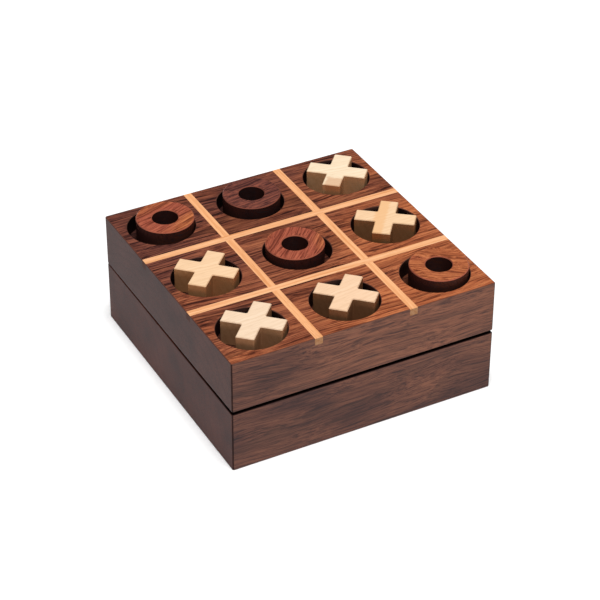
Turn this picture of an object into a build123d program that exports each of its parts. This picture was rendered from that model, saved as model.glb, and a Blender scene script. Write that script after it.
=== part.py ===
from build123d import *
from math import cos, hypot, radians, sin, sqrt
import os

# A square box of dark wood whose thick lid is a noughts and crosses board.
# Millimetres. +X runs to the right along the front, +Y to the back, +Z up.
# The origin is the middle of the underside.

# Box
side = 127.0                  # width and depth of both halves
base_height = 29.5
lid_thickness = 25.2
wall = 10.0                   # round the storage tray
tray_floor = 6.0
tray_corner_radius = 6.0
tray_foot_radius = 2.0        # left by the cutter where the walls meet the floor
arris = 0.5                   # easing of the outer edges
lid_foot_arris = 0.9          # the lid's lower edges are eased more
corner_radius = 0.8           # the four upright corners
lid_ajar = 0.45               # degrees that the closed lid stands open, bound at its hinges

# Pockets of the board
pocket_diameter = 30.8
pocket_depth = 8.0
pocket_margin = 3.7           # wood left between an outer pocket and the edge
pocket_easing = 0.25
middle_row_drift = 1.1        # the middle row is bored this much nearer the front

# Inlaid strips
strip_width = 3.7
strip_depth = 3.4
column_strip_outset = 0.6     # outwards from halfway between two columns of pockets

# Playing pieces
piece_proud = 4.0             # what shows above the board
piece_easing = 0.35
side_clearance = 0.3          # least gap between a piece and its pocket's wall
ring_play = 4.6               # pocket diameter less ring diameter
ring_hole_diameter = 11.8
cross_play = 2.6              # pocket diameter less the cross's reach over its corners
arm_width = 8.1
arm_corner_radius = 0.4
crotch_radius = 0.6

# Brass butt hinges
hinge_length = 24.0
hinge_inset = 26.5            # from the side of the box to the middle of a hinge
leaf_thickness = 1.0
leaf_margin = 2.5             # wood left between a leaf and the tray
leaf_clearance = 0.1          # round a leaf in its mortise
knuckle_count = 5
knuckle_gap = 0.15
knuckle_standoff = 0.15       # between a knuckle and the back of the box
pin_diameter = 1.9
pin_clearance = 0.05
pin_head_diameter = 2.9
pin_head_height = 0.5

# Countersunk screws, two to a leaf
screw_diameter = 1.8
screw_head_diameter = 3.4
screw_length = 8.0
screw_point = 1.6
screw_end_distance = 5.2      # from the end of a leaf
screw_clearance = 0.05
screw_slot_width = 0.5
screw_slot_depth = 0.35
screw_sunk = 0.08             # head below the face of the leaf

# Worked out
half = side / 2
pocket_radius = pocket_diameter / 2
pocket_pitch = half - pocket_margin - pocket_radius
lid_top = base_height + lid_thickness
pocket_foot = lid_top - pocket_depth
piece_thickness = pocket_depth + piece_proud
ring_radius = (pocket_diameter - ring_play) / 2
cross_reach = pocket_diameter - cross_play
arm_span = sqrt(cross_reach ** 2 - arm_width ** 2)
leaf_width = wall - leaf_margin
knuckle_bore = pin_diameter / 2 + pin_clearance
knuckle_radius = knuckle_bore + leaf_thickness
knuckle_pitch = hinge_length / knuckle_count
pin_line = half + knuckle_radius + knuckle_standoff
hinge_axis = Axis((0, pin_line, base_height), (-1, 0, 0))
hinge_places = {"left": -half + hinge_inset, "right": half - hinge_inset}
columns = {"left": -pocket_pitch, "middle": 0.0, "right": pocket_pitch}
rows = {"front": -pocket_pitch, "middle": -middle_row_drift, "back": pocket_pitch}

# Where each piece stands: column, row, share of its play that it leans over, the direction
# it leans in degrees from +X, and how far it is turned from arms along the edges.
rings = {
    "ring_back_left": ("left", "back", 1.0, 5.0, 10.0),
    "ring_back_middle": ("middle", "back", 0.35, 10.0, 60.0),
    "ring_centre": ("middle", "middle", 0.55, 175.0, 35.0),
    "ring_front_right": ("right", "front", 0.85, -10.0, 80.0),
}
crosses = {
    "cross_back_right": ("right", "back", 0.5, -60.0, 49.0),
    "cross_middle_left": ("left", "middle", 0.6, 40.0, 46.0),
    "cross_middle_right": ("right", "middle", 0.2, -120.0, 52.0),
    "cross_front_left": ("left", "front", 0.9, -10.0, 47.0),
    "cross_front_middle": ("middle", "front", 0.4, -35.0, 46.5),
}


def block(width, height, foot, foot_arris):
    """Square block with eased edges, standing on the height foot."""
    solid = Pos(0, 0, foot + height / 2) * Box(width, width, height)
    solid = fillet(solid.edges().filter_by(Axis.Z), corner_radius)
    solid = fillet(solid.edges().group_by(Axis.Z)[-1], arris)
    return fillet(solid.edges().group_by(Axis.Z)[0], foot_arris)


def span_box(x, y, z):
    """Box between two values along each axis."""
    size = [high - low for low, high in (x, y, z)]
    middle = [(low + high) / 2 for low, high in (x, y, z)]
    return Pos(*middle) * Box(*size)


def screw_spots():
    """Both screws of a leaf: along the hinge and from the pin line to the front."""
    reach = hinge_length / 2 - screw_end_distance
    return [(x, -(pin_line - half) - leaf_width / 2) for x in (-reach, reach)]


def leaf(own_knuckles):
    """Leaf below the joint, with the pin along X at the origin and the box towards -Y."""
    plate = span_box((-hinge_length / 2, hinge_length / 2),
                     (-(pin_line - half) - leaf_width, 0), (-leaf_thickness, 0))
    barrel = Rot(0, 90, 0) * Cylinder(knuckle_radius, hinge_length)
    bore = Rot(0, 90, 0) * Cylinder(knuckle_bore, hinge_length)
    solid = plate + barrel - bore
    for index in range(knuckle_count):
        low = -hinge_length / 2 + index * knuckle_pitch
        if index in own_knuckles:
            continue
        ends = [low - knuckle_gap / 2, low + knuckle_pitch + knuckle_gap / 2]
        reach = knuckle_radius + knuckle_gap
        solid -= span_box(ends, (-reach, reach), (-reach, reach))
    hole = Cylinder(screw_diameter / 2 + screw_clearance, 3 * leaf_thickness)
    flare = (screw_head_diameter - screw_diameter) / 2
    sink = Pos(0, 0, -flare / 2 - screw_sunk) * Cone(
        screw_diameter / 2 + screw_clearance, screw_head_diameter / 2 + screw_clearance, flare)
    mouth = Pos(0, 0, -screw_sunk / 2) * Cylinder(
        screw_head_diameter / 2 + screw_clearance, screw_sunk)
    for x, y in screw_spots():
        solid -= Pos(x, y, 0) * (hole + sink + mouth)
    return solid


def screw():
    """Slotted countersunk screw pointing down, its head just under the height 0."""
    radius = screw_diameter / 2
    head = screw_head_diameter / 2
    profile = Polyline(
        (0, -screw_sunk), (head, -screw_sunk), (radius, -screw_sunk - head + radius),
        (radius, -screw_length + screw_point), (0, -screw_length), close=True)
    solid = revolve(Plane.XZ * make_face(profile), Axis.Z)
    slot = Box(screw_head_diameter, screw_slot_width, 2 * (screw_slot_depth + screw_sunk))
    return solid - slot


def screw_hole():
    """Pilot hole for a screw, below the floor of a mortise."""
    depth = screw_length + screw_clearance
    return Pos(0, 0, -depth / 2) * Cylinder(screw_diameter / 2 + screw_clearance, depth)


def mortise():
    """Recess in the rim that takes a leaf, and its pilot holes."""
    length = hinge_length / 2 + leaf_clearance
    back = half + knuckle_radius - pin_line
    front = -(pin_line - half) - leaf_width - leaf_clearance
    recess = span_box((-length, length), (front, back), (-leaf_thickness, leaf_thickness))
    for x, y in screw_spots():
        recess += Pos(x, y, 0) * screw_hole()
    return recess


def hinge_pin():
    """Pin with a head at each end, along X."""
    length = hinge_length + 2 * pin_clearance
    shank = Cylinder(pin_diameter / 2, length)
    head = Cylinder(pin_head_diameter / 2, pin_head_height)
    head = chamfer(head.edges().sort_by(Axis.Z)[-1], pin_head_height / 2)
    head = Pos(0, 0, length / 2 + pin_head_height / 2) * head
    return Rot(0, 90, 0) * (shank + head + head.mirror(Plane.XY))


def at_hinge(shape, x, lid_side=False):
    """Place a hinge's piece on the pin line, upside down for the lid's half."""
    if lid_side:
        shape = shape.mirror(Plane.XY)
    return Pos(x, pin_line, base_height) * shape


def lean(share, direction, play):
    """How far a piece stands from the middle of its pocket."""
    travel = share * (play / 2 - side_clearance)
    return travel * cos(radians(direction)), travel * sin(radians(direction))


def seated(shape, place, play):
    """Stand a piece on the floor of its pocket."""
    column, row, share, direction, turn = place
    x, y = lean(share, direction, play)
    return Pos(columns[column] + x, rows[row] + y, pocket_foot) * Rot(0, 0, turn) * shape


def ring():
    """Nought: a thick turned ring."""
    disc = Cylinder(ring_radius, piece_thickness)
    hole = Cylinder(ring_hole_diameter / 2, piece_thickness)
    solid = disc - hole
    solid = chamfer(solid.edges().filter_by(GeomType.CIRCLE), piece_easing)
    return Pos(0, 0, piece_thickness / 2) * solid


def cross():
    """Cross: two bars in one piece, with eased corners."""
    outline = Rectangle(arm_span, arm_width) + Rectangle(arm_width, arm_span)
    crotch = arm_width / sqrt(2)
    inner = [v for v in outline.vertices() if hypot(v.X, v.Y) < crotch + piece_easing]
    outline = fillet(inner, crotch_radius)
    outer = [v for v in outline.vertices() if hypot(v.X, v.Y) > cross_reach / 2 - piece_easing]
    outline = fillet(outer, arm_corner_radius)
    solid = extrude(outline, piece_thickness)
    ends = solid.edges().group_by(Axis.Z)
    return chamfer(ends[0] + ends[-1], piece_easing)


def base():
    """Lower half: a block routed out as a tray, with a mortise for each hinge."""
    solid = block(side, base_height, 0, arris)
    inside = side - 2 * wall
    tray = Pos(0, 0, base_height / 2 + tray_floor) * Box(inside, inside, base_height)
    tray = fillet(tray.edges().filter_by(Axis.Z), tray_corner_radius)
    tray = fillet(tray.edges().group_by(Axis.Z)[0], tray_foot_radius)
    solid -= tray
    for x in hinge_places.values():
        solid -= at_hinge(mortise(), x)
    return solid


def row_strip(y):
    """Groove or strip along X, over the whole board."""
    return span_box((-side, side), (y - strip_width / 2, y + strip_width / 2),
                    (lid_top - strip_depth, lid_top + strip_depth))


def column_strip(x, y):
    """Groove or strip along Y, between two values of y."""
    return span_box((x - strip_width / 2, x + strip_width / 2), y,
                    (lid_top - strip_depth, lid_top + strip_depth))


def lid_pieces():
    """Upper half: the board, and the strips let into it, all cut from one eased block."""
    blank = block(side, lid_thickness, base_height, lid_foot_arris)
    column_offset = pocket_pitch / 2 + column_strip_outset
    row_lines = {
        "front": (rows["front"] + rows["middle"]) / 2,
        "back": (rows["middle"] + rows["back"]) / 2,
    }
    front, back = row_lines["front"], row_lines["back"]
    stretches = {
        "front": (-side, front - strip_width / 2),
        "middle": (front + strip_width / 2, back - strip_width / 2),
        "back": (back + strip_width / 2, side),
    }
    pieces = {}
    board = blank
    for name, y in row_lines.items():
        pieces["long_strip_" + name] = blank & row_strip(y)
        board -= row_strip(y)
    for name, x in (("left", -column_offset), ("right", column_offset)):
        for part, stretch in stretches.items():
            pieces[f"short_strip_{name}_{part}"] = blank & column_strip(x, stretch)
        board -= column_strip(x, (-side, side))
    for x in columns.values():
        for y in rows.values():
            pocket = Pos(x, y, pocket_foot + pocket_depth) * Cylinder(pocket_radius, 2 * pocket_depth)
            board -= pocket
    rims = board.edges().filter_by(GeomType.CIRCLE)
    rims = rims.filter_by(lambda edge: abs(edge.radius - pocket_radius) < pocket_easing)
    board = chamfer(rims.filter_by_position(Axis.Z, lid_top, lid_top), pocket_easing)
    for x in hinge_places.values():
        board -= at_hinge(mortise(), x, lid_side=True)
    pieces["lid_board"] = board
    return pieces


def hinge_nodes():
    """Leaves, pins and screws: what stays with the base, and what the lid carries."""
    fixed = {}
    hung = {}
    lid_knuckles = range(1, knuckle_count, 2)
    base_knuckles = range(0, knuckle_count, 2)
    base_screws = []
    lid_screws = []
    for name, x in hinge_places.items():
        fixed[f"hinge_{name}_base_leaf"] = at_hinge(leaf(base_knuckles), x)
        fixed[f"hinge_{name}_pin"] = at_hinge(hinge_pin(), x)
        hung[f"hinge_{name}_lid_leaf"] = at_hinge(leaf(lid_knuckles), x, lid_side=True)
        for along, across in screw_spots():
            placed = Pos(along, across, 0) * screw()
            base_screws.append(at_hinge(placed, x))
            lid_screws.append(at_hinge(placed, x, lid_side=True))
    fixed["base_screws"] = Compound(children=base_screws)
    hung["lid_screws"] = Compound(children=lid_screws)
    return fixed, hung


def build():
    """Every node by name, at rest."""
    fixed, hung = hinge_nodes()
    fixed["base_box"] = base()
    hung.update(lid_pieces())
    for name, place in rings.items():
        hung[name] = seated(ring(), place, ring_play)
    for name, place in crosses.items():
        hung[name] = seated(cross(), place, cross_play)
    nodes = dict(fixed)
    for name, shape in hung.items():
        nodes[name] = shape.rotate(hinge_axis, lid_ajar)
    return nodes


os.makedirs("parts", exist_ok=True)
for node, shape in build().items():
    export_step(shape, f"parts/{node}.step")
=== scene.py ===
import math

import bpy
from mathutils import Matrix, Vector


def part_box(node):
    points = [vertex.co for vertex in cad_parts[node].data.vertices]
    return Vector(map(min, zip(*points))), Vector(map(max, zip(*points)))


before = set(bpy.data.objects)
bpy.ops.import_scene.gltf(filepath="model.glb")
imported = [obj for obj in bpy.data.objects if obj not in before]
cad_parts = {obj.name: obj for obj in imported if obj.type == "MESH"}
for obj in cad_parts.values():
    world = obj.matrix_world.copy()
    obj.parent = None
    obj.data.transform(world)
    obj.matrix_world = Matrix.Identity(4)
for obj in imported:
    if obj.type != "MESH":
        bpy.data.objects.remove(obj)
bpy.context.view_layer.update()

# Camera: place, the point it looks at, and its small roll, fitted to the photograph
CAMERA_PLACE = (-0.3821, -0.7173, 0.6002)
CAMERA_AIM = (0.0011, -0.0017, 0.0285)
CAMERA_ROLL = 0.35            # degrees
CAMERA_LENS = 133.7           # millimetres
CAMERA_SENSOR = 36.0          # millimetres wide

MILLIMETRE = 0.001            # metres
FLOAT = "NodeSocketFloat"
VECTOR = "NodeSocketVector"


# Node helpers

def add(tree, kind, **settings):
    """New node of a kind, with some of its properties set."""
    node = tree.nodes.new(kind)
    for name, value in settings.items():
        setattr(node, name, value)
    return node


def feed(tree, value, socket):
    """Give a socket a number, a colour, a vector or another node's output."""
    if isinstance(value, bpy.types.NodeSocket):
        tree.links.new(value, socket)
    elif isinstance(value, tuple) and socket.type == "RGBA":
        socket.default_value = (*value, 1.0)
    else:
        socket.default_value = value


def math_node(tree, operation, first, second=0.5, clamp=False):
    """Math on one or two numbers, each a socket or a value."""
    node = add(tree, "ShaderNodeMath", operation=operation, use_clamp=clamp)
    feed(tree, first, node.inputs[0])
    feed(tree, second, node.inputs[1])
    return node.outputs[0]


def times(tree, first, second):
    """Product of two numbers."""
    return math_node(tree, "MULTIPLY", first, second)


def vector_math(tree, operation, first, second):
    """Math on two vectors, each a socket or a tuple."""
    node = add(tree, "ShaderNodeVectorMath", operation=operation)
    feed(tree, first, node.inputs[0])
    feed(tree, second, node.inputs[1])
    return node.outputs["Value" if operation in ("LENGTH", "DOT_PRODUCT") else "Vector"]


def parts_of(tree, vector):
    """X, Y and Z of a vector."""
    node = add(tree, "ShaderNodeSeparateXYZ")
    feed(tree, vector, node.inputs[0])
    return node.outputs


def map_range(tree, value, low, high, to_low=0.0, to_high=1.0):
    """Clamped change of range."""
    node = add(tree, "ShaderNodeMapRange")
    for name, given in (("Value", value), ("From Min", low), ("From Max", high),
                        ("To Min", to_low), ("To Max", to_high)):
        feed(tree, given, node.inputs[name])
    return node.outputs["Result"]


def mix(tree, amount, first, second, blend="MIX"):
    """Mix of two colours, each a socket or an RGB value."""
    node = add(tree, "ShaderNodeMix", data_type="RGBA", blend_type=blend)
    for value, socket in ((amount, node.inputs[0]), (first, node.inputs[6]), (second, node.inputs[7])):
        feed(tree, value, socket)
    return node.outputs[2]


def noise(tree, place, stretch, detail=2.0, roughness=0.5, output="Fac"):
    """Noise with so many waves to the millimetre along each axis."""
    node = add(tree, "ShaderNodeTexNoise")
    feed(tree, vector_math(tree, "MULTIPLY", place, stretch), node.inputs["Vector"])
    for name, given in (("Scale", 1.0), ("Detail", detail), ("Roughness", roughness)):
        feed(tree, given, node.inputs[name])
    return node.outputs[output]


def ramp(tree, value, stops):
    """Colour ramp through (position, RGB) stops."""
    node = add(tree, "ShaderNodeValToRGB")
    elements = node.color_ramp.elements
    while len(elements) < len(stops):
        elements.new(1.0)
    for element, (position, colour) in zip(elements, stops):
        element.position = position
        element.color = (*colour, 1.0)
    feed(tree, value, node.inputs[0])
    return node.outputs[0]


def new_group(name, inputs, outputs):
    """Shader node group with named inputs and outputs."""
    group = bpy.data.node_groups.new(name, "ShaderNodeTree")
    for socket, kind in inputs:
        group.interface.new_socket(socket, in_out="INPUT", socket_type=kind)
    for socket, kind in outputs:
        group.interface.new_socket(socket, in_out="OUTPUT", socket_type=kind)
    return group, group.nodes.new("NodeGroupInput"), group.nodes.new("NodeGroupOutput")


# Shared effects

def wood_figure_group():
    """Marks of a block whose grain runs along X: how far each place is into each mark, 0 to 1."""
    group, taken, given = new_group(
        "wood_figure",
        [("Place", VECTOR), ("Heart", VECTOR), ("Ring spacing", FLOAT), ("Waver", FLOAT)],
        [(name, FLOAT) for name in ("Rings", "Streaks", "Fibres", "Pores", "Clouds")])
    place = taken.outputs["Place"]

    # The grain wavers across X: a slow sway with a small shiver on it, in millimetres
    sideways = []
    for waves, reach in (((0.009, 0.03, 0.03), 18.0), ((0.03, 0.16, 0.16), 3.0)):
        drift = noise(group, place, waves, 2.0, output="Color")
        drift = vector_math(group, "SUBTRACT", drift, (0.5, 0.5, 0.5))
        sideways.append(vector_math(group, "MULTIPLY", drift, (0.0, reach, reach)))
    amount = add(group, "ShaderNodeVectorMath", operation="SCALE")
    feed(group, vector_math(group, "ADD", *sideways), amount.inputs[0])
    feed(group, taken.outputs["Waver"], amount.inputs["Scale"])
    bent = vector_math(group, "ADD", place, amount.outputs[0])

    # Growth rings round the heart, which lies nearly along X
    from_heart = vector_math(group, "SUBTRACT", bent, taken.outputs["Heart"])
    across = vector_math(group, "MULTIPLY", from_heart, (0.02, 1.0, 1.0))
    radius = vector_math(group, "LENGTH", across, (0.0, 0.0, 0.0))
    rings = math_node(group, "FRACT", math_node(group, "DIVIDE", radius, taken.outputs["Ring spacing"]))
    feed(group, rings, given.inputs["Rings"])
    feed(group, noise(group, bent, (0.018, 0.8, 0.8), 5.0, 0.66), given.inputs["Streaks"])
    feed(group, noise(group, bent, (0.05, 1.9, 1.9), 4.0, 0.7), given.inputs["Fibres"])
    feed(group, noise(group, bent, (0.22, 3.0, 3.0), 1.0, 0.5), given.inputs["Pores"])
    feed(group, noise(group, place, (0.018, 0.05, 0.05), 2.0, 0.5), given.inputs["Clouds"])
    return group


def facing_group():
    """Masks by which way a surface faces: upright, end grain at the ends of X, eased edges, and the
    rounding of upright corners."""
    group, taken, given = new_group(
        "facing", [("Normal", VECTOR)], [(name, FLOAT) for name in ("Upright", "Ends", "Eased", "Corners")])
    parts = parts_of(group, taken.outputs["Normal"])
    along, aside, rise = [math_node(group, "ABSOLUTE", parts[axis]) for axis in "XYZ"]
    feed(group, map_range(group, rise, 0.85, 0.35), given.inputs["Upright"])
    feed(group, map_range(group, along, 0.6, 0.8), given.inputs["Ends"])
    feed(group, map_range(group, times(group, along, aside), 0.25, 0.4), given.inputs["Corners"])
    edge = times(group, map_range(group, rise, 0.1, 0.4), map_range(group, rise, 0.97, 0.9))
    feed(group, edge, given.inputs["Eased"])
    return group


WOOD_FIGURE = wood_figure_group()
FACING = facing_group()


# Materials

def new_material(name):
    """Node material with a bare shader joined to its output."""
    material = bpy.data.materials.new(name)
    material.use_nodes = True
    tree = material.node_tree
    tree.nodes.clear()
    shader = tree.nodes.new("ShaderNodeBsdfPrincipled")
    out = tree.nodes.new("ShaderNodeOutputMaterial")
    feed(tree, shader.outputs[0], out.inputs["Surface"])
    return material, tree, shader


def in_millimetres(tree, middle=(0.0, 0.0, 0.0), turn=0.0):
    """Millimetres from a middle point, with X turned in plan by so many degrees."""
    coordinates = add(tree, "ShaderNodeTexCoord")
    mapping = add(tree, "ShaderNodeMapping", vector_type="TEXTURE")
    feed(tree, coordinates.outputs["Object"], mapping.inputs["Vector"])
    mapping.inputs["Location"].default_value = [MILLIMETRE * value for value in middle]
    mapping.inputs["Rotation"].default_value = (0.0, 0.0, math.radians(turn))
    mapping.inputs["Scale"].default_value = (MILLIMETRE, MILLIMETRE, MILLIMETRE)
    return mapping.outputs["Vector"]


def facing(tree):
    """Masks of the shared facing group, from the surface's own direction."""
    node = add(tree, "ShaderNodeGroup", node_tree=FACING)
    feed(tree, add(tree, "ShaderNodeTexCoord").outputs["Normal"], node.inputs["Normal"])
    return node.outputs


def figure(tree, place, heart, spacing, waver):
    """Marks of the shared wood figure."""
    node = add(tree, "ShaderNodeGroup", node_tree=WOOD_FIGURE)
    for name, value in (("Place", place), ("Heart", heart), ("Ring spacing", spacing), ("Waver", waver)):
        feed(tree, value, node.inputs[name])
    return node.outputs


def relief(tree, shader, height, strength, distance):
    """Fine relief from a height."""
    bump = add(tree, "ShaderNodeBump")
    for name, value in (("Height", height), ("Strength", strength), ("Distance", distance)):
        feed(tree, value, bump.inputs[name])
    feed(tree, bump.outputs[0], shader.inputs["Normal"])


# Colours are linear RGB, and tones run from dark to light
WOOD_IOR = 1.12               # low: the finish is thin and dull
TONE_STOPS = (0.42, 0.50, 0.59)
WARM_STOPS = (0.41, 0.49, 0.59)
END_STOPS = (0.36, 0.62)
DARK_LINE = (0.013, 0.006, 0.006)
SMOKE = (0.045, 0.036, 0.040)                                # greyish patches and fibres on upright faces
SHADED_SIDE_TONES = ((0.103, 0.068, 0.065), (0.272, 0.145, 0.108))  # painted shade and sheen: plain and warm wood on upright faces, greyer than on top
END_TONES = ((0.042, 0.020, 0.019), (0.106, 0.041, 0.034))
BASE_END_TONES = ((0.041, 0.013, 0.011), (0.104, 0.028, 0.021))
WARM_TONES = ((0.150, 0.034, 0.015), (0.365, 0.099, 0.039), (0.57, 0.192, 0.075))


def rosewood(name, tones, warmth, middle=(0.0, 0.0, 0.0), turn=0.0, heart=(0.0, 30.0, -25.0),
             waver=1.0, side_shade_tint=(0.75, 0.8, 1.0), shaded_side_tones=SHADED_SIDE_TONES, end_tones=END_TONES,
             edge_tone=(0.14, 0.05, 0.03), lines=1.0, corner_line=0.0, hollow=None):
    """Oiled rosewood. Warmth tells where the warm tones take over, and the mask of hollows where painted
    shade darkens the wood.
    """
    material, tree, shader = new_material(name)
    marks = figure(tree, in_millimetres(tree, middle, turn), heart, 6.0, waver)
    masks = facing(tree)

    # Two woods, plain and warm, each with its streaks and fibres
    blend = math_node(tree, "ADD", times(tree, marks["Streaks"], 0.55), times(tree, marks["Fibres"], 0.45))
    plain = ramp(tree, blend, list(zip(TONE_STOPS, tones)))
    warm = ramp(tree, blend, list(zip(WARM_STOPS, WARM_TONES)))
    warm_amount = warmth(tree, marks)
    colour = mix(tree, warm_amount, plain, warm)

    # Dark lines: late wood of the growth rings, dark streaks and pores
    late = math_node(tree, "POWER", map_range(tree, marks["Rings"], 0.45, 0.98), 2.0)
    late = times(tree, late, map_range(tree, marks["Clouds"], 0.3, 0.6, 0.2, 0.85))
    dark_streaks = map_range(tree, marks["Streaks"], 0.435, 0.39)
    line = times(tree, math_node(tree, "MAXIMUM", late, dark_streaks),
                 map_range(tree, warm_amount, 0.0, 1.0, lines, 0.5 * lines))
    colour = mix(tree, line, colour, mix(tree, 0.82, colour, DARK_LINE))
    pores = map_range(tree, marks["Pores"], 0.60, 0.68, 0.0, 0.5)
    colour = mix(tree, pores, colour, DARK_LINE)
    colour = mix(tree, masks["Eased"], colour, edge_tone)

    # Painted shade and sheen: upright faces are calmer, greyer and tinted darker
    shaded_side_tone = mix(tree, warm_amount, *shaded_side_tones)
    shaded = mix(tree, 0.55, mix(tree, 1.0, colour, side_shade_tint, blend="MULTIPLY"), shaded_side_tone)
    shaded = mix(tree, map_range(tree, marks["Clouds"], 0.48, 0.34, 0.0, 0.35), shaded, SMOKE)
    shaded = mix(tree, map_range(tree, marks["Fibres"], 0.51, 0.38, 0.0, 0.6), shaded, SMOKE)
    colour = mix(tree, masks["Upright"], colour, shaded)

    # End grain
    cloudy = math_node(tree, "ADD", times(tree, marks["Clouds"], 0.4), times(tree, marks["Fibres"], 0.6))
    end_grain = ramp(tree, cloudy, list(zip(END_STOPS, end_tones)))
    end_grain = mix(tree, times(tree, line, 0.3), end_grain, DARK_LINE)
    colour = mix(tree, times(tree, masks["Ends"], 0.9), colour, end_grain)

    colour = mix(tree, times(tree, masks["Corners"], corner_line), colour, DARK_LINE)
    # Painted shade: darkens the hollows, such as the pocket walls and the joint between the halves
    if hollow:
        colour = mix(tree, hollow(tree), colour, DARK_LINE)
    feed(tree, colour, shader.inputs["Base Color"])
    shader.inputs["IOR"].default_value = WOOD_IOR
    feed(tree, map_range(tree, marks["Fibres"], 0.3, 0.7, 0.28, 0.42), shader.inputs["Roughness"])
    relief(tree, shader, math_node(tree, "SUBTRACT", marks["Fibres"], pores), 0.2, 0.06 * MILLIMETRE)
    return material


def everywhere(amount):
    """Warmth that only follows the clouds in the wood."""
    start = 0.56 - 0.3 * amount
    return lambda tree, marks: map_range(tree, marks["Clouds"], start, start + 0.1)


# Places on the box where painted shade falls, in millimetres: each pair runs from none to full
HINGE_LINE = 65.6             # Y of the hinge pins
LID_SLOPE = 0.0079            # rise of the lid towards the front, for it stands ajar
BASE_EDGE = (29.1, 29.4)      # height of the base's upper edge
LID_EDGE = (30.2, 29.9)       # height of the lid's lower edge, less its slope
JOINT_SHADE_REACH = (10.0, -60.0)    # Y: more painted shade towards the front
POCKET_WALL = (54.2, 52.8)    # height over which a pocket's wall takes painted shade
POCKET_FLOOR = (45.0, 45.5)   # height
POCKET_REACH = (61.5, 61.0)   # from the middle, in X or Y


def joint_shade(tree):
    """Painted shade in the gap between the halves: the eased edges on both sides of the joint."""
    parts = parts_of(tree, in_millimetres(tree))
    lift = times(tree, math_node(tree, "SUBTRACT", HINGE_LINE, parts["Y"]), LID_SLOPE)
    level = math_node(tree, "SUBTRACT", parts["Z"], lift)
    gap_shade = times(tree, map_range(tree, parts["Z"], *BASE_EDGE), map_range(tree, level, *LID_EDGE))
    return times(tree, gap_shade, map_range(tree, parts["Y"], *JOINT_SHADE_REACH))


def pockets(tree):
    """Painted shade on the walls of the pockets, below the board's face and inside its edges, and at the
    joint.
    """
    parts = parts_of(tree, in_millimetres(tree))
    aside, ahead = [math_node(tree, "ABSOLUTE", parts[axis]) for axis in "XY"]
    reach = math_node(tree, "MAXIMUM", aside, ahead)
    deep = times(tree, map_range(tree, parts["Z"], *POCKET_WALL, 0.0, 0.8),
                 map_range(tree, reach, *POCKET_REACH))
    deep = times(tree, deep, map_range(tree, parts["Z"], *POCKET_FLOOR))
    return math_node(tree, "MAXIMUM", deep, joint_shade(tree))


def rising_warmth_and_light(direction):
    """Warmth that rises along a direction in plan, partly real warm wood and partly a painted pool of
    light, with the clouds in the wood on top.
    """
    def warmth(tree, marks):
        lean = vector_math(tree, "DOT_PRODUCT", in_millimetres(tree), direction)
        drift = times(tree, math_node(tree, "SUBTRACT", marks["Clouds"], 0.5), 1.8)
        return map_range(tree, math_node(tree, "ADD", lean, drift), -0.6, 0.6)
    return warmth


def heartwood(tree, marks, middle, bar_turn, reaches):
    """Patch on one bar of a cross: the bar's turn, and the patch's reach along and across it."""
    spot = parts_of(tree, in_millimetres(tree, middle, bar_turn))
    fray = times(tree, math_node(tree, "SUBTRACT", marks["Fibres"], 0.5), 5.0)
    patch = 0.75
    for axis, (low, high) in zip("XY", reaches):
        edge = math_node(tree, "ADD", spot[axis], fray)
        patch = times(tree, patch, map_range(tree, edge, low, low + 1.0))
        patch = times(tree, patch, map_range(tree, edge, high, high - 1.0))
    return patch


def pale_wood(name, light, deep, side_shade_tint, middle=(0.0, 0.0, 0.0), turn=0.0, contrast=1.0,
              end_tone=None, stain=None):
    """Fine pale wood with faint straight lines. A stain is the turn, reaches and colour of a patch of
    heartwood."""
    material, tree, shader = new_material(name)
    marks = figure(tree, in_millimetres(tree, middle, turn), (0.0, 60.0, -20.0), 2.2, 0.35)
    masks = facing(tree)
    lines = map_range(tree, marks["Rings"], 0.5, 1.0, 0.0, 0.45 * contrast)
    streaks = map_range(tree, marks["Streaks"], 0.42, 0.62, 0.0, 0.55 * contrast)
    colour = mix(tree, math_node(tree, "ADD", lines, streaks, clamp=True), light, deep)
    dashes = map_range(tree, marks["Pores"], 0.60, 0.68, 0.0, 0.5 * contrast)
    colour = mix(tree, dashes, colour, tuple(0.8 * value for value in deep))
    if stain:
        bar_turn, reaches, tone = stain
        colour = mix(tree, heartwood(tree, marks, middle, bar_turn, reaches), colour, tone)
    # Painted shade: upright faces take the darker side tint
    shaded = mix(tree, 1.0, colour, side_shade_tint, blend="MULTIPLY")
    colour = mix(tree, masks["Upright"], colour, shaded)
    if end_tone:
        colour = mix(tree, masks["Ends"], colour, end_tone)
    feed(tree, colour, shader.inputs["Base Color"])
    shader.inputs["IOR"].default_value = WOOD_IOR
    feed(tree, map_range(tree, marks["Fibres"], 0.3, 0.7, 0.42, 0.58), shader.inputs["Roughness"])
    relief(tree, shader, marks["Fibres"], 0.15, 0.05 * MILLIMETRE)
    return material


def brass(name):
    """Plain brass, a little rubbed."""
    material, tree, shader = new_material(name)
    place = in_millimetres(tree)
    cloud = noise(tree, place, (0.4, 0.4, 0.4), 4.0)
    scratches = noise(tree, place, (0.4, 4.0, 4.0), 2.0)
    feed(tree, mix(tree, cloud, (0.62, 0.43, 0.16), (0.78, 0.58, 0.27)), shader.inputs["Base Color"])
    shader.inputs["Metallic"].default_value = 1.0
    feed(tree, map_range(tree, scratches, 0.3, 0.7, 0.22, 0.42), shader.inputs["Roughness"])
    relief(tree, shader, scratches, 0.1, 0.03 * MILLIMETRE)
    return material


def wear(node, material):
    """Give a CAD node one material."""
    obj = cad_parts[node]
    obj.data.materials.clear()
    obj.data.materials.append(material)


def middle_of(node):
    """Middle of a node, in millimetres."""
    low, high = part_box(node)
    return tuple((a + b) / 2 / MILLIMETRE for a, b in zip(low, high))


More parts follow.
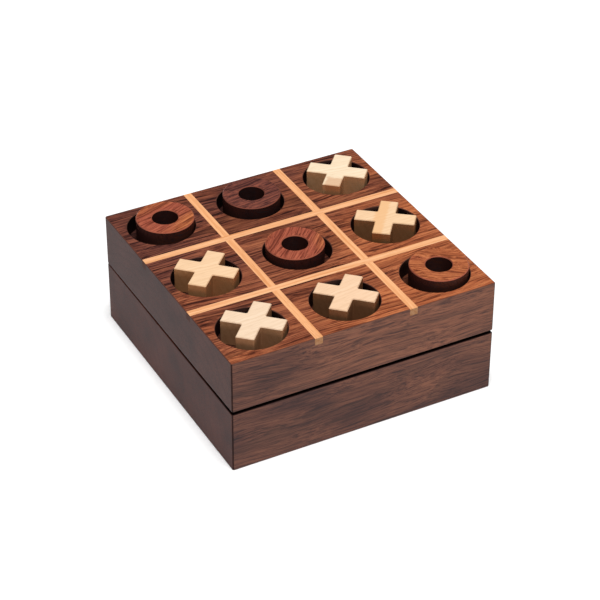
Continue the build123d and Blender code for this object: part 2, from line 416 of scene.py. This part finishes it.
# Rosewood of the box: the lid is warmest at the front right, partly real warm wood and partly a painted
# pool of light
BOARD_TONES = ((0.030, 0.011, 0.011), (0.118, 0.037, 0.027), (0.25, 0.082, 0.048))
wear("lid_board", rosewood("lid_rosewood", BOARD_TONES, rising_warmth_and_light((0.0068, -0.0082, 0.0)),
                           heart=(0.0, 20.0, -60.0), corner_line=0.8, hollow=pockets))
wear("base_box", rosewood("base_rosewood", BOARD_TONES, rising_warmth_and_light((0.003, 0.0, 0.0)),
                          heart=(0.0, 30.0, -50.0), middle=(40.0, 18.0, 30.0),
                          end_tones=BASE_END_TONES, corner_line=0.8, hollow=joint_shade))

# Inlaid strips: the grain runs along each
STRIP_LIGHT = (0.87, 0.45, 0.220)
LONG_STRIP_LIGHT = (0.87, 0.472, 0.246)
STRIP_DEEP = (0.70, 0.29, 0.110)
# painted shade on the strips' upright sides
STRIP_SIDE_SHADE = (0.6, 0.62, 0.65)
STRIP_END = (0.085, 0.032, 0.024)
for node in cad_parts:
    if node.startswith("long_strip"):
        wear(node, pale_wood("wood_" + node, LONG_STRIP_LIGHT, STRIP_DEEP, STRIP_SIDE_SHADE, end_tone=STRIP_END))
    elif node.startswith("short_strip"):
        wear(node, pale_wood("wood_" + node, STRIP_LIGHT, STRIP_DEEP, STRIP_SIDE_SHADE, turn=90.0))

# Crosses: cream wood with the grain nearly along the board's X. Colour of each, and how light the
# painted shade on its upright sides is. Two have a patch of heartwood.
CROSS_WOODS = {
    "cross_back_right": ((0.90, 0.73, 0.53), 1.55),
    "cross_middle_left": ((0.88, 0.61, 0.385), 1.2),
    "cross_middle_right": ((0.88, 0.61, 0.38), 0.8),
    "cross_front_left": ((0.87, 0.665, 0.485), 1.0),
    "cross_front_middle": ((0.88, 0.61, 0.41), 0.62),
}
CROSS_STAINS = {
    "cross_middle_right": (52.0, ((-20.0, 20.0), (-0.8, 5.5)), (0.80, 0.46, 0.22)),
    "cross_back_right": (49.0, ((-15.0, -6.5), (-5.0, 3.5)), (0.66, 0.40, 0.24)),
}
# painted shade darkens the crosses' upright sides
CROSS_SIDE_SHADE = (0.62, 0.42, 0.29)
CROSS_DEEP_TINT = (0.82, 0.75, 0.66)
for index, (node, (cream, side_shade_level)) in enumerate(CROSS_WOODS.items()):
    side_shade_tint = tuple(side_shade_level * share for share in CROSS_SIDE_SHADE)
    deep = tuple(share * value for share, value in zip(CROSS_DEEP_TINT, cream))
    wear(node, pale_wood("wood_" + node, cream, deep, side_shade_tint, middle=middle_of(node),
                         turn=4.0 * index - 8.0, contrast=0.7, stain=CROSS_STAINS.get(node)))

# Rings: tones, how much of the wood is warm, the way its grain runs, and how much it wavers
RING_RED = ((0.150, 0.032, 0.018), (0.320, 0.076, 0.044), (0.44, 0.120, 0.066))
RING_PURPLE = ((0.042, 0.015, 0.015), (0.135, 0.044, 0.034), (0.26, 0.078, 0.050))
# painted shade: the rings' upright sides, nearly black
RING_SHADED_SIDES = ((0.055, 0.020, 0.018), (0.080, 0.026, 0.020))
RING_WOODS = {
    "ring_back_left": (RING_RED, 0.25, 20.0, 1.0),
    "ring_back_middle": (RING_PURPLE, -0.3, 10.0, 1.5),
    "ring_centre": (RING_RED, 0.0, 45.0, 1.0),
    "ring_front_right": (RING_RED, 0.75, -35.0, 2.2),
}
for node, (tones, amount, turn, waver) in RING_WOODS.items():
    # painted highlight: the rings' eased top edges are lighter than their lightest wood
    edge_tone = tuple(1.1 * value for value in tones[-1])
    # painted shade darkens the rings' upright sides and ends
    wear(node, rosewood("wood_" + node, tones, everywhere(amount), middle=middle_of(node), turn=turn,
                        waver=waver, side_shade_tint=(0.25, 0.25, 0.3), shaded_side_tones=RING_SHADED_SIDES,
                        end_tones=RING_SHADED_SIDES, edge_tone=edge_tone, lines=0.3))

# Brass
hinge_brass = brass("hinge_brass")
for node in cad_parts:
    if node.startswith("hinge_") or node.endswith("_screws"):
        wear(node, hinge_brass)


# Studio

FLOOR_SIZE = 8.0              # metres: far wider than the view
FLOOR_GLOW = 0.1              # keeps the floor beside the box nearly white
SUN_STRENGTH = 3.4
SUN_DIRECTION = (0.03, 0.12, -1.0)
SUN_SPREAD = 20.0             # degrees
SURROUND_STRENGTH = 0.12


def floor():
    """Pale floor that gives off a little light."""
    bpy.ops.mesh.primitive_plane_add(size=FLOOR_SIZE)
    plane = bpy.context.object
    plane.name = "studio_floor"
    material, tree, shader = new_material("studio_floor")
    shader.inputs["Base Color"].default_value = (0.92, 0.92, 0.92, 1.0)
    shader.inputs["Roughness"].default_value = 0.9
    shader.inputs["Emission Color"].default_value = (1.0, 1.0, 1.0, 1.0)
    shader.inputs["Emission Strength"].default_value = FLOOR_GLOW
    plane.data.materials.append(material)


def sun(name, strength, direction, spread):
    """Broad soft light shining along a direction."""
    light = bpy.data.lights.new(name, "SUN")
    light.energy = strength
    light.angle = math.radians(spread)
    lamp = bpy.data.objects.new(name, light)
    lamp.rotation_euler = Vector(direction).to_track_quat("-Z", "Y").to_euler()
    bpy.context.collection.objects.link(lamp)


def studio():
    """Floor, one broad light from overhead, and a dim even surround."""
    floor()
    sun("top_light", SUN_STRENGTH, SUN_DIRECTION, SUN_SPREAD)
    world = bpy.data.worlds.new("surround")
    world.use_nodes = True
    background = world.node_tree.nodes["Background"]
    background.inputs["Color"].default_value = (1.0, 1.0, 1.0, 1.0)
    background.inputs["Strength"].default_value = SURROUND_STRENGTH
    bpy.context.scene.world = world
    bpy.context.scene.view_settings.view_transform = "Standard"


def camera():
    """Camera at the photograph's angle."""
    data = bpy.data.cameras.new("camera")
    data.lens = CAMERA_LENS
    data.sensor_width = CAMERA_SENSOR
    holder = bpy.data.objects.new("camera", data)
    place = Vector(CAMERA_PLACE)
    look = (Vector(CAMERA_AIM) - place).to_track_quat("-Z", "Y").to_matrix().to_4x4()
    roll = Matrix.Rotation(math.radians(CAMERA_ROLL), 4, "Z")
    holder.matrix_world = Matrix.Translation(place) @ look @ roll
    bpy.context.collection.objects.link(holder)
    bpy.context.scene.camera = holder


studio()
camera()
